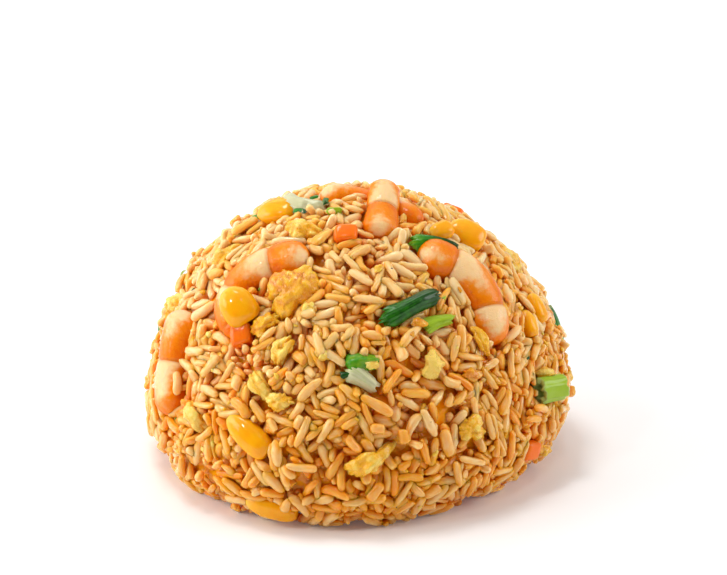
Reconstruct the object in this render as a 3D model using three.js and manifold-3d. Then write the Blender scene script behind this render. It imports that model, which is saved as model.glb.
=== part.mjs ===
// Moulded mound of shrimp fried rice: a dome of rice with shrimps, sweetcorn, carrot dice,
// spring onion and bits of egg pressed into its surface. Millimetres, +Z up, front towards -Y,
// origin at the middle of the base.
import * as THREE from 'three';
import { mergeVertices } from 'three/addons/utils/BufferGeometryUtils.js';
import Module from 'manifold-3d';

const wasm = await Module();
wasm.setup();

// Dome turned out of a round bowl: radius before the foot draws in, and height at the crown.
const domeRadius = 54.5;
const domeHeight = 66;
const domeShoulder = 1.845;
const domeCrown = 2.343;
// The foot draws in under the belly by this share, fading out over footRise.
const footPinch = 0.132;
const footRise = 6.2;
// Out of round: each lobe is a count around the dome, a share of the radius and a direction.
const outOfRound = [
  { count: 2, depth: 0.02, towards: 72 },
  { count: 3, depth: 0.031, towards: 21 },
];
// Grains stand out of the dome by up to grainHeight, over longer waves of clumpHeight.
const grainHeight = 1.1;
const clumpHeight = 0.5;
const clumpLength = 17;
const domeDetail = 12;
// Clear space left between a piece and the rice or the pieces beside it.
const gap = 0.35;

// Every piece is placed by at: [degrees around, degrees up, millimetres out of the surface] and
// turned: [turn about the outward direction, pitch of its length, roll about its length].
// Shrimps run from head end to tail end: bend is the angle they curl through, tight how far that
// gathers at the tail, and tail the thickness left there.
const shrimps = {
  shrimp_left: {
    at: [-135, 55, -0.6], turned: [-152, 17, -18], length: 33, bend: 165, tight: 1.9, thick: 9.4, tail: 0.66,
  },
  shrimp_left_low: {
    at: [-153, 32, -1.4], turned: [-89, 3, -19], length: 25, bend: 40, tight: 1.4, thick: 10, tail: 0.8,
  },
  shrimp_right: {
    at: [-39, 54, -0.8], turned: [-28, 19, 15], length: 30, bend: -115, tight: 1.1, thick: 10, tail: 0.84,
  },
  shrimp_top: {
    at: [-31, 84.5, -2.6], turned: [-45, 0, 0], length: 27, bend: -75, tight: 1.2, thick: 7.8, tail: 0.8,
  },
  shrimp_top_tail: {
    at: [-60, 78.5, -0.4], turned: [56, 20, 0], length: 18, bend: 6, tight: 1, thick: 8.6, tail: 0.78,
  },
  shrimp_back: {
    at: [66, 46, -0.6], turned: [40, 0, 0], length: 33, bend: 150, tight: 1.6, thick: 9.4, tail: 0.66,
  },
  shrimp_back_low: {
    at: [128, 32, -0.8], turned: [-60, 0, 0], length: 31, bend: 140, tight: 1.5, thick: 9, tail: 0.7,
  },
};
const kernels = {
  corn_1: { at: [-127, 48, 2.4], turned: [-42, -35, -15], length: 9.6, width: 9.2, thick: 7 },
  corn_2: { at: [-17, 64, 0.6], turned: [-82, 4, 33], length: 9.6, width: 8, thick: 5.6 },
  corn_3: { at: [-32, 68, 0.2], turned: [-18, 20, 14], length: 6.6, width: 5.2, thick: 4.2 },
  corn_4: { at: [-116, 22, -0.8], turned: [-33, -5, -7], length: 13, width: 7, thick: 5.4 },
  corn_5: { at: [-111, 4, -1.8], turned: [-13, -6, -23], length: 12.5, width: 6, thick: 6 },
  corn_6: { at: [-165, 73, 0.4], turned: [64, -9, 22], length: 10, width: 7.6, thick: 5 },
  corn_7: { at: [-11, 41, 0.2], turned: [-107, -1, 13], length: 8, width: 5, thick: 4.2 },
  corn_8: { at: [-21, 40, -0.5], turned: [-109, -2, 11], length: 7, width: 4.4, thick: 4.2 },
  corn_9: { at: [34, 44, -0.4], turned: [60, 0, 0], length: 9.6, width: 8, thick: 5.4 },
  corn_10: { at: [92, 30, -0.4], turned: [-20, 0, 0], length: 9.8, width: 8.2, thick: 5.4 },
  corn_11: { at: [148, 48, -0.3], turned: [130, 0, 0], length: 9, width: 7.8, thick: 5.2 },
  corn_12: { at: [164, 14, -0.6], turned: [40, 0, 0], length: 9.8, width: 7.4, thick: 5 },
};
const dice = {
  carrot_1: { at: [-95, 70, -0.4], turned: [9, 1, 20], length: 5.4, width: 4.2, thick: 4.6 },
  carrot_2: { at: [-125, 43, -0.8], turned: [32, -15, 16], length: 4.8, width: 5, thick: 5 },
  carrot_3: { at: [-34, 11, -1.4], turned: [-10, 11, -4], length: 5.4, width: 4.4, thick: 4.6 },
  carrot_4: { at: [38, 60, -0.7], turned: [30, 0, 12], length: 6.2, width: 5.6, thick: 5 },
  carrot_5: { at: [70, 14, -0.8], turned: [60, 0, 8], length: 6, width: 5.6, thick: 5 },
  carrot_6: { at: [128, 62, -0.8], turned: [10, 0, 14], length: 6.4, width: 5.4, thick: 5.2 },
};
// Rings cut from the stem, pressed flat by squash and bent along their length.
const onions = {
  spring_onion_1: { at: [-71, 51, 1], turned: [14, 9, 5], length: 13.4, width: 5, squash: 0.55, bend: 14 },
  spring_onion_2: { at: [-47, 65, 1], turned: [-34, 10, 20], length: 10, width: 4.4, squash: 0.6, bend: 10 },
  spring_onion_3: { at: [-63, 47, 0.2], turned: [10, 11, 3], length: 7, width: 3.4, squash: 0.5, bend: 6 },
  spring_onion_4: { at: [-88, 36, 0], turned: [-25, 0, 1], length: 7, width: 5.8, squash: 0.6, bend: 14 },
  spring_onion_5: { at: [-23, 24, 0.5], turned: [-10, 26, -3], length: 7.4, width: 6.4, squash: 0.8, bend: 4 },
  spring_onion_6: { at: [-155, 78, 0.8], turned: [33, -13, 15], length: 11.5, width: 8, squash: 0.5, bend: 12 },
  spring_onion_7: { at: [10, 30, 0.3], turned: [70, 0, 0], length: 9, width: 5, squash: 0.6, bend: 14 },
  spring_onion_8: { at: [92, 60, 0.3], turned: [-30, 0, 0], length: 10, width: 5.2, squash: 0.55, bend: 12 },
  spring_onion_9: { at: [112, 12, 0.2], turned: [20, 0, 0], length: 7.6, width: 6, squash: 0.8, bend: 6 },
  spring_onion_10: { at: [166, 32, 0.2], turned: [110, 0, 0], length: 9.6, width: 4.8, squash: 0.6, bend: 16 },
};
// Torn flakes of fried egg: lobes around the outline, and curl as the angle it bends through.
const flakes = {
  egg_1: { at: [-112, 54, 0.4], turned: [64, 6, 14], length: 12.5, width: 10, thick: 4.6, lobes: 5, curl: 20 },
  egg_2: { at: [-118, 46, 0], turned: [46, -3, 11], length: 8, width: 3.8, thick: 3, lobes: 3, curl: 30 },
  egg_3: { at: [-110, 41, -0.2], turned: [68, 0, 3], length: 7.4, width: 4, thick: 3, lobes: 3, curl: 10 },
  egg_4: { at: [-115, 33, 0], turned: [-36, -2, -2], length: 8.6, width: 3.6, thick: 2.8, lobes: 4, curl: 60 },
  egg_5: { at: [-109, 30, -0.2], turned: [12, -2, 0], length: 6.2, width: 3.8, thick: 2.8, lobes: 3, curl: 10 },
  egg_6: { at: [-68, 38, -0.1], turned: [67, 2, -2], length: 6.2, width: 4.4, thick: 3.4, lobes: 4, curl: 10 },
  egg_7: { at: [-59, 23, 0.1], turned: [-29, 8, 2], length: 7, width: 5, thick: 3.4, lobes: 5, curl: 20 },
  egg_8: { at: [-87, 18, 0.4], turned: [31, 0, -2], length: 12, width: 5, thick: 3.2, lobes: 3, curl: 50 },
  egg_9: { at: [-49, 41, 0.1], turned: [-84, 0, 9], length: 8, width: 3, thick: 2.6, lobes: 2, curl: 25 },
  egg_10: { at: [-22, 27.5, 0.2], turned: [-12, 12, -1], length: 6, width: 3.4, thick: 2.8, lobes: 3, curl: 70 },
  egg_11: { at: [-123, 70, 0.2], turned: [3, -15, 17], length: 9, width: 5.4, thick: 3.8, lobes: 4, curl: 20 },
  egg_12: { at: [-160, 58, 0], turned: [82, -2, 12], length: 8.4, width: 5.6, thick: 3.6, lobes: 4, curl: 25 },
  egg_13: { at: [-135, 23, 0], turned: [-34, -7, -8], length: 8.4, width: 4, thick: 2.8, lobes: 3, curl: 40 },
  egg_14: { at: [2, 52, 0], turned: [50, 0, 0], length: 10, width: 6.4, thick: 3.6, lobes: 5, curl: 20 },
  egg_15: { at: [48, 24, 0], turned: [15, 0, 0], length: 11, width: 6, thick: 3.6, lobes: 4, curl: 30 },
  egg_16: { at: [106, 50, 0], turned: [-40, 0, 0], length: 12, width: 8, thick: 4.2, lobes: 5, curl: 20 },
  egg_17: { at: [146, 10, -0.1], turned: [25, 0, 0], length: 9, width: 4.6, thick: 3, lobes: 3, curl: 40 },
  egg_18: { at: [-176, 40, -0.1], turned: [75, 0, 0], length: 10, width: 4.6, thick: 3, lobes: 3, curl: 45 },
};

const looks = {
  rice: { color: 0xe3bd82, roughness: 0.42 },
  shrimp: { color: 0xef9a4e, roughness: 0.35 },
  corn: { color: 0xf5ab16, roughness: 0.3 },
  carrot: { color: 0xf4600e, roughness: 0.38 },
  onion: { color: 0x4f9a1d, roughness: 0.36 },
  egg: { color: 0xeeb044, roughness: 0.55 },
};

const rad = THREE.MathUtils.degToRad;

// Radius share left by the lobes in a direction around the dome.
function roundness(angle) {
  let share = 1;
  for (const lobe of outOfRound) {
    share += lobe.depth * Math.cos(lobe.count * (angle - rad(lobe.towards)));
  }
  return share;
}

// Below 1 inside the smooth dome, above 1 outside it.
function domeLevel(p) {
  const height = Math.max(p.z, 0);
  const foot = 1 - footPinch * Math.exp(-height / footRise);
  const reach = Math.hypot(p.x, p.y) / (domeRadius * roundness(Math.atan2(p.y, p.x)) * foot);
  return reach ** domeShoulder + (height / domeHeight) ** domeCrown;
}

// Point of the smooth dome seen from the middle of the base.
function domePoint(around, up) {
  const way = new THREE.Vector3(
    Math.cos(up) * Math.cos(around),
    Math.cos(up) * Math.sin(around),
    Math.sin(up),
  );
  let near = 0;
  let far = 2 * domeHeight;
  for (let step = 0; step < 30; step++) {
    const middle = (near + far) / 2;
    if (domeLevel(way.clone().multiplyScalar(middle)) < 1) near = middle;
    else far = middle;
  }
  return way.multiplyScalar(near);
}

function domeNormal(p) {
  const step = 0.01;
  const slope = (x, y, z) => domeLevel(p.clone().add(new THREE.Vector3(x, y, z)));
  return new THREE.Vector3(
    slope(step, 0, 0) - slope(-step, 0, 0),
    slope(0, step, 0) - slope(0, -step, 0),
    slope(0, 0, step) - slope(0, 0, -step),
  ).normalize();
}

// A repeatable scatter between -1 and 1 for each whole number.
function scatter(n) {
  const s = Math.sin(n * 12.9898 + 4.1) * 43758.5453;
  return 2 * (s - Math.floor(s)) - 1;
}

// Height of the grains and clumps at a point.
function lumpHeight(p, n) {
  const k = (2 * Math.PI) / clumpLength;
  const wave = Math.sin(k * p.x + 0.4) * Math.cos(k * p.y - 0.8) + Math.sin(k * p.z + 0.6 * k * p.x);
  return clumpHeight * wave + grainHeight * scatter(n);
}

// The closed solid of a geometry, in the frame that the matrix gives.
function solidOf(geometry, matrix = new THREE.Matrix4()) {
  const bare = geometry.clone().applyMatrix4(matrix);
  bare.deleteAttribute('normal');
  bare.deleteAttribute('uv');
  const merged = mergeVertices(bare, 1e-4);
  return new wasm.Manifold(new wasm.Mesh({
    numProp: 3,
    vertProperties: new Float32Array(merged.attributes.position.array),
    triVerts: new Uint32Array(merged.index.array),
  }));
}

// The largest closed body of a solid, as a geometry.
function geometryOf(solid) {
  const bodies = solid.decompose();
  const largest = bodies.reduce((a, b) => (b.volume() > a.volume() ? b : a));
  const mesh = largest.getMesh();
  const geometry = new THREE.BufferGeometry();
  geometry.setAttribute('position', new THREE.BufferAttribute(mesh.vertProperties, 3));
  geometry.setIndex(new THREE.BufferAttribute(mesh.triVerts, 1));
  return geometry;
}

// A ball whose poles lie on X, each point moved by form(x, y, z, point).
function formed(sides, rings, form) {
  const ball = new THREE.SphereGeometry(1, sides, rings);
  ball.rotateZ(-Math.PI / 2);
  const spots = ball.attributes.position;
  const out = new THREE.Vector3();
  for (let i = 0; i < spots.count; i++) {
    form(spots.getX(i), spots.getY(i), spots.getZ(i), out);
    spots.setXYZ(i, out.x, out.y, out.z);
  }
  return ball;
}

// Curled shrimp body: it thins towards the tail and its shell rings stand proud in turn.
function shrimpForm({ length, bend, tight, thick, tail }, grow) {
  const rings = 12;
  const ringStep = 0.035;
  const roundEnd = 0.16;
  const depth = 0.9;
  const spine = curledLine(length, rad(bend), tight, 4 * rings);
  return formed(8, rings, (x, y, z, out) => {
    const along = Math.acos(x) / Math.PI;
    const { place, heading } = spine[Math.round(along * 4 * rings)];
    const toEnd = Math.min(along, 1 - along) / roundEnd;
    const full = toEnd < 1 ? Math.sqrt(1 - (1 - toEnd) ** 2) : 1;
    const taper = 1 - (1 - tail) * along;
    const ring = 1 + ringStep * Math.cos(Math.PI * along * rings);
    const girth = Math.max(Math.hypot(y, z), 1e-6);
    const size = ((thick / 2) * taper * ring + grow) * full;
    const across = (y / girth) * size;
    const tip = grow * x;
    out.set(
      place.x + across * Math.sin(heading) - tip * Math.cos(heading),
      place.y - across * Math.cos(heading) - tip * Math.sin(heading),
      (z / girth) * size * depth,
    );
  });
}

// Points and headings along a line that curls through an angle, its middle at the origin.
function curledLine(length, angle, tight, steps) {
  const line = [];
  const place = new THREE.Vector2();
  for (let i = 0; i <= steps; i++) {
    const heading = angle * (i / steps) ** tight;
    line.push({ place: place.clone(), heading });
    place.x += (length / steps) * Math.cos(heading);
    place.y += (length / steps) * Math.sin(heading);
  }
  const middle = line[steps / 2].place.clone();
  for (const point of line) point.place.sub(middle);
  return line;
}

// Sweetcorn kernel: a blunt crown at +X, narrowing to the root.
function kernelForm({ length, width, thick }, grow) {
  const blunt = (v) => Math.sign(v) * Math.abs(v) ** 0.8;
  return formed(7, 5, (x, y, z, out) => {
    const taper = 1 - 0.3 * ((1 - x) / 2) ** 1.4;
    const dimple = x > 0.9 ? 0.93 : 1;
    out.set(
      blunt(x) * (length / 2 + grow) * dimple,
      blunt(y) * (width / 2 + grow) * taper,
      blunt(z) * (thick / 2 + grow) * taper,
    );
  });
}

// Carrot dice with worn edges, a little out of square.
function diceForm({ length, width, thick }, grow) {
  const worn = 0.6;
  const skew = 0.12;
  const half = { x: length / 2 - worn + grow, y: width / 2 - worn + grow };
  const outline = new THREE.Shape();
  outline.moveTo(-half.x - skew * half.y, -half.y);
  outline.lineTo(half.x - skew * half.y, -half.y * 0.9);
  outline.lineTo(half.x + skew * half.y, half.y);
  outline.lineTo(-half.x + skew * half.y, half.y * 0.92);
  outline.closePath();
  const depth = thick - 2 * worn + 2 * grow;
  const cube = new THREE.ExtrudeGeometry(outline, {
    depth,
    bevelThickness: worn,
    bevelSize: worn,
    bevelSegments: 1,
    steps: 1,
  });
  return cube.translate(0, 0, -depth / 2);
}

// Piece of spring onion: a hollow stem, squashed and bent.
function onionForm({ length, width, squash, bend }, grow) {
  const outer = width / 2 + grow;
  const inner = grow > 0 ? 0 : outer * 0.55;
  const half = length / 2 + grow;
  const profile = [];
  if (inner === 0) {
    profile.push([0, -half], [outer, -half], [outer, 0], [outer, half], [0, half]);
  } else {
    profile.push([inner, -half], [outer, -half], [outer, 0], [outer, half], [inner, half], [inner, 0], [inner, -half]);
  }
  const stem = new THREE.LatheGeometry(profile.map(([r, h]) => new THREE.Vector2(r, h)), 7);
  stem.rotateZ(-Math.PI / 2);
  return bentOver(stem, squash, bend, length);
}

// Presses a piece flat and bends its length through an angle about Y.
function bentOver(geometry, squash, bend, length) {
  const spots = geometry.attributes.position;
  for (let i = 0; i < spots.count; i++) {
    const share = spots.getX(i) / length;
    const sag = length * rad(bend) * share * share;
    spots.setZ(i, spots.getZ(i) * squash - sag);
  }
  return geometry;
}

// Torn flake of egg: a lumpy outline, puffed and curled.
function flakeForm({ length, width, thick, lobes, curl }, grow) {
  const flake = formed(8, 4, (x, y, z, out) => {
    const edge = Math.atan2(y, x);
    const ragged = 1 + 0.16 * Math.sin(lobes * edge + lobes) + 0.07 * Math.sin(2 * lobes * edge + 1);
    const puff = 1 + 0.22 * Math.sin(5 * x + lobes) * Math.cos(4 * y - lobes);
    out.set(
      x * ragged * (length / 2 + grow),
      y * ragged * (width / 2 + grow),
      z * ((thick / 2) * puff + grow),
    );
  });
  return bentOver(flake, 1, curl, length);
}

// Where a piece lies: its own frame on the dome.
function placed(at, turned) {
  const spot = domePoint(rad(at[0]), rad(at[1]));
  const out = domeNormal(spot);
  const east = new THREE.Vector3(-Math.sin(rad(at[0])), Math.cos(rad(at[0])), 0);
  east.addScaledVector(out, -east.dot(out)).normalize();
  const north = new THREE.Vector3().crossVectors(out, east);
  const lie = new THREE.Matrix4().makeBasis(east, north, out);
  const own = new THREE.Euler(rad(turned[2]), -rad(turned[1]), rad(turned[0]), 'ZYX');
  lie.multiply(new THREE.Matrix4().makeRotationFromEuler(own));
  lie.setPosition(spot.addScaledVector(out, at[2]));
  return lie;
}

// The dome of rice with its grains standing out, run on below the ground it is cut off at.
function heapForm() {
  const ball = new THREE.IcosahedronGeometry(1, domeDetail);
  ball.deleteAttribute('normal');
  ball.deleteAttribute('uv');
  const heap = mergeVertices(ball, 1e-4);
  const spots = heap.attributes.position;
  for (let i = 0; i < spots.count; i++) {
    const around = Math.atan2(spots.getY(i), spots.getX(i));
    const up = Math.asin(THREE.MathUtils.clamp(spots.getZ(i), -1, 1));
    const p = domePoint(around, Math.max(up, 0));
    if (up >= 0) p.addScaledVector(domeNormal(p), lumpHeight(p, i));
    else p.multiplyScalar(Math.cos(up)).setZ(domeRadius * Math.sin(up));
    spots.setXYZ(i, p.x, p.y, p.z);
  }
  return heap;
}

function meshOf(name, geometry, look) {
  const mesh = new THREE.Mesh(geometry, new THREE.MeshStandardMaterial({ ...look, metalness: 0 }));
  mesh.name = name;
  return mesh;
}

const kinds = [
  { rows: kernels, form: kernelForm, look: looks.corn },
  { rows: dice, form: diceForm, look: looks.carrot },
  { rows: onions, form: onionForm, look: looks.onion },
  { rows: flakes, form: flakeForm, look: looks.egg },
  { rows: shrimps, form: shrimpForm, look: looks.shrimp },
];

const mound = new THREE.Group();
mound.name = 'fried_rice_mound';
const ground = new THREE.BoxGeometry(4 * domeRadius, 4 * domeRadius, 2 * domeRadius);
ground.translate(0, 0, -domeRadius);
const below = solidOf(ground);
const laid = [];
let heap = solidOf(heapForm()).subtract(below);

for (const { rows, form, look } of kinds) {
  for (const [name, row] of Object.entries(rows)) {
    const frame = placed(row.at, row.turned);
    const back = frame.clone().invert();
    const room = solidOf(form(row, gap), frame);
    let piece = solidOf(form(row, 0), frame).subtract(below);
    for (const other of laid) piece = piece.subtract(other);
    const mesh = meshOf(name, geometryOf(piece).applyMatrix4(back), look);
    mesh.applyMatrix4(frame);
    mound.add(mesh);
    laid.push(room);
    heap = heap.subtract(room);
  }
}
mound.add(meshOf('rice_heap', geometryOf(heap), looks.rice));

export default mound;
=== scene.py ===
# Shrimp fried rice turned out of a round bowl. Everything is worked out in millimetres and
# scaled to metres where a mesh is made; the front faces -Y and the heap stands on z = 0.
import itertools
import math

import bpy
import numpy as np
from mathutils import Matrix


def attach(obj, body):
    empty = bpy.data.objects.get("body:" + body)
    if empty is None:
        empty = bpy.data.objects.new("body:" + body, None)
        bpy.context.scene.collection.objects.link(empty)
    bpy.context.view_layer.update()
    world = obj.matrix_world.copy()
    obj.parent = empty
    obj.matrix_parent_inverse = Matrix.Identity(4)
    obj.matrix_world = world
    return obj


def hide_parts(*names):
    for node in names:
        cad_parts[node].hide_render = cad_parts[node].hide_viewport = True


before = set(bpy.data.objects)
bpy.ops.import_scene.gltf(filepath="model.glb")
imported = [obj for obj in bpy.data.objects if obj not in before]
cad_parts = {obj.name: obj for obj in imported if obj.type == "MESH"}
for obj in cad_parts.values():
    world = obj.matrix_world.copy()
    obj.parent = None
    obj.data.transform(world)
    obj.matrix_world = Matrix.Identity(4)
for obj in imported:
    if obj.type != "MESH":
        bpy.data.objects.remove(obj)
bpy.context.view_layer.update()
metre = 0.001

# the smooth dome that all lies on
dome = {
    "radius": 54.5,
    "height": 66.0,
    "shoulder": 1.845,
    "crown": 2.343,
    "footPinch": 0.132,
    "footRise": 6.2,
    "lobes": ((2, 0.02, 72.0), (3, 0.031, 21.0)),  # count, depth, direction in degrees
}
tableStep = {"around": 3.0, "up": 2.0}  # degrees between the worked out places of the dome


def domeLevel(points):
    around = np.arctan2(points[:, 1], points[:, 0])
    share = np.ones(len(points))
    for count, depth, towards in dome["lobes"]:
        share += depth * np.cos(count * (around - math.radians(towards)))
    height = np.maximum(points[:, 2], 0)
    foot = 1 - dome["footPinch"] * np.exp(-height / dome["footRise"])
    reach = np.hypot(points[:, 0], points[:, 1]) / (dome["radius"] * share * foot)
    return reach ** dome["shoulder"] + (height / dome["height"]) ** dome["crown"]


def domeSpot(around, up):
    # point of the dome in the directions given, by halving
    way = np.stack([np.cos(up) * np.cos(around), np.cos(up) * np.sin(around), np.sin(up)], 1)
    near, far = np.zeros(len(way)), np.full(len(way), 2 * dome["height"])
    for _ in range(30):
        middle = (near + far) / 2
        inside = domeLevel(way * middle[:, None]) < 1
        near, far = np.where(inside, middle, near), np.where(inside, far, middle)
    return way * near[:, None]


def unit(vectors):
    return vectors / np.maximum(np.linalg.norm(vectors, axis=-1, keepdims=True), 1e-9)


def domeNormal(points):
    step = 0.01 * np.eye(3)
    slopes = [domeLevel(points + s) - domeLevel(points - s) for s in step]
    return unit(np.stack(slopes, 1))


def makeTable():
    around = np.radians(np.arange(-180, 180.1, tableStep["around"]))
    up = np.radians(np.arange(0, 90.1, tableStep["up"]))
    a, u = np.meshgrid(around, up, indexing="ij")
    spots = domeSpot(a.ravel(), u.ravel())
    far = np.linalg.norm(spots, axis=1, keepdims=True)
    return np.hstack([far, domeNormal(spots)]).reshape(len(around), len(up), 4)


domeTable = makeTable()


def aboveDome(points):
    # millimetres outside the smooth dome, and the way out of it
    flat = np.hypot(points[:, 0], points[:, 1])
    a = (np.degrees(np.arctan2(points[:, 1], points[:, 0])) + 180) / tableStep["around"]
    u = np.degrees(np.arctan2(np.maximum(points[:, 2], 0), flat)) / tableStep["up"]
    ia = np.minimum(a.astype(int), domeTable.shape[0] - 2)
    iu = np.minimum(u.astype(int), domeTable.shape[1] - 2)
    fa, fu = (a - ia)[:, None], (u - iu)[:, None]
    low = domeTable[ia, iu] * (1 - fa) + domeTable[ia + 1, iu] * fa
    high = domeTable[ia, iu + 1] * (1 - fa) + domeTable[ia + 1, iu + 1] * fa
    value = low * (1 - fu) + high * fu
    way = unit(value[:, 1:])
    far = np.linalg.norm(points, axis=1)
    steep = np.maximum((way * unit(points)).sum(1), 0.3)
    return (far - value[:, 0]) * steep, way


hashing = {"axes": np.array([73856093, 19349663, 83492791]), "mix": 1274126177, "apart": 31.7}


def lumps(points, size, seed):
    # smooth uneven values between -1 and 1, with lumps about that size
    p = points / size + hashing["apart"] * seed
    cell = np.floor(p).astype(np.int64)
    t = p - cell
    t = t * t * (3 - 2 * t)
    total = np.zeros(len(points))
    for corner in itertools.product((0, 1), repeat=3):
        h = np.bitwise_xor.reduce((cell + np.array(corner)) * hashing["axes"], axis=1)
        h = ((h ^ (h >> 13)) * hashing["mix"]) & 0x7FFFFFFF
        value = ((h >> 7) & 0xFFFF) / 32767.5 - 1
        total += value * np.prod(np.where(corner, t, 1 - t), axis=1)
    return total


def lieAt(at, turned):
    # own axes (as columns) and place of a piece: see its table for what the numbers mean
    around, up = math.radians(at[0]), math.radians(at[1])
    spot = domeSpot(np.array([around]), np.array([up]))
    out = domeNormal(spot)[0]
    east = np.array([-math.sin(around), math.cos(around), 0])
    east = unit(east - out * (east @ out))
    own = np.stack([east, np.cross(out, east), out], 1)
    turn, pitch, roll = (math.radians(v) for v in turned)
    ct, st, cp, sp, cr, sr = (f(v) for v in (turn, -pitch, roll) for f in (math.cos, math.sin))
    aboutZ = np.array([[ct, -st, 0], [st, ct, 0], [0, 0, 1]])
    aboutY = np.array([[cp, 0, sp], [0, 1, 0], [-sp, 0, cp]])
    aboutX = np.array([[1, 0, 0], [0, cr, -sr], [0, sr, cr]])
    return own @ aboutZ @ aboutY @ aboutX, spot[0] + out * at[2]


# meshes from arrays
def band(first, second, sides):
    # triangles between two rings of points, from the number of each ring's first point
    side = np.arange(sides)
    after = (side + 1) % sides
    return [
        np.stack([first + side, second + side, second + after], 1),
        np.stack([first + side, second + after, first + after], 1),
    ]


def ballGrid(sides, rings):
    # a ball with its poles on X: share of the way along, angle around, and triangles
    along = np.concatenate([[0], np.repeat(np.arange(1, rings + 1), sides), [rings + 1]])
    angle = np.concatenate([[0], np.tile(np.arange(sides), rings), [0]]) * (2 * math.pi / sides)
    side = np.arange(sides)
    after = (side + 1) % sides
    triangles = [np.stack([np.zeros(sides, int), 1 + side, 1 + after], 1)]
    for ring in range(rings - 1):
        triangles += band(1 + ring * sides, 1 + (ring + 1) * sides, sides)
    last = 1 + (rings - 1) * sides
    triangles.append(np.stack([last + side, np.full(sides, rings * sides + 1), last + after], 1))
    return along / (rings + 1), angle, np.concatenate(triangles)


def roundForm(sides, rings):
    # that ball's coordinates, at radius 1, and its triangles
    along, angle, triangles = ballGrid(sides, rings)
    x, girth = np.cos(math.pi * along), np.sin(math.pi * along)
    return x, girth * np.cos(angle), girth * np.sin(angle), triangles


def tubeGrid(sides, rows):
    # a closed band: rows go once around its section, sides around its axis
    angle = np.tile(np.arange(sides), rows) * (2 * math.pi / sides)
    row = np.repeat(np.arange(rows), sides)
    triangles = []
    for r in range(rows):
        triangles += band(r * sides, ((r + 1) % rows) * sides, sides)
    return row, angle, np.concatenate(triangles)


def facingOut(points, triangles):
    a, b, c = (points[triangles[:, i]] for i in range(3))
    volume = (a * np.cross(b, c)).sum()
    return triangles if volume > 0 else triangles[:, ::-1]


def normalsOf(points, triangles):
    a, b, c = (points[triangles[:, i]] for i in range(3))
    face = np.cross(b - a, c - a)
    total = np.zeros_like(points)
    for i, axis in itertools.product(range(3), range(3)):
        total[:, axis] += np.bincount(triangles[:, i], face[:, axis], len(points))
    return unit(total)


def setDown(form, own, spot):
    # a form turned to its own axes and moved to its spot
    points, triangles, marks = form
    points = points @ own.T + spot
    return points, facingOut(points, triangles), marks


def joined(pieces):
    offset = 0
    points, faces, marks = [], [], {}
    for p, f, m in pieces:
        points.append(p)
        faces.append(f + offset)
        offset += len(p)
        for key, values in m.items():
            marks.setdefault(key, []).append(values)
    marks = {key: np.concatenate(values) for key, values in marks.items()}
    return np.concatenate(points), np.concatenate(faces), marks


def makePiece(name, points, triangles, look, slot, marks, replaced=()):
    mesh = bpy.data.meshes.new(name)
    mesh.vertices.add(len(points))
    mesh.vertices.foreach_set("co", (points * metre).astype(np.float32).ravel())
    mesh.loops.add(3 * len(triangles))
    mesh.loops.foreach_set("vertex_index", triangles.astype(np.int32).ravel())
    mesh.polygons.add(len(triangles))
    mesh.polygons.foreach_set("loop_start", np.arange(0, 3 * len(triangles), 3, dtype=np.int32))
    mesh.polygons.foreach_set("use_smooth", np.ones(len(triangles), bool))
    mesh.update(calc_edges=True)
    mesh.validate()
    for mark, values in marks.items():
        attribute = mesh.attributes.new(mark, "FLOAT", "POINT")
        attribute.data.foreach_set("value", values.astype(np.float32))
    mesh.materials.append(look)
    piece = bpy.data.objects.new(name, mesh)
    bpy.context.scene.collection.objects.link(piece)
    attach(piece, "root")
    if replaced:
        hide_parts(*replaced)
    return piece


# shader writing
class Value:
    # one output socket, so that shader maths reads as plain expressions
    def __init__(self, look, socket):
        self.look = look
        self.socket = socket

    def maths(self, operation, first, second):
        return self.look.node("Math", {"operation": operation}, {0: first, 1: second})

    def __add__(self, other):
        return self.maths("ADD", self, other)

    def __radd__(self, other):
        return self.maths("ADD", other, self)

    def __sub__(self, other):
        return self.maths("SUBTRACT", self, other)

    def __rsub__(self, other):
        return self.maths("SUBTRACT", other, self)

    def __mul__(self, other):
        return self.maths("MULTIPLY", self, other)

    def __rmul__(self, other):
        return self.maths("MULTIPLY", other, self)

    def __pow__(self, other):
        return self.maths("POWER", self, other)

    def clamped(self):
        settings = {"operation": "ADD", "use_clamp": True}
        return self.look.node("Math", settings, {0: self, 1: 0.0})

    def between(self, low, high):
        # 0 below low, 1 above high, smooth between
        settings = {"interpolation_type": "SMOOTHSTEP"}
        return self.look.node("MapRange", settings, {0: self, 1: low, 2: high})


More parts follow.
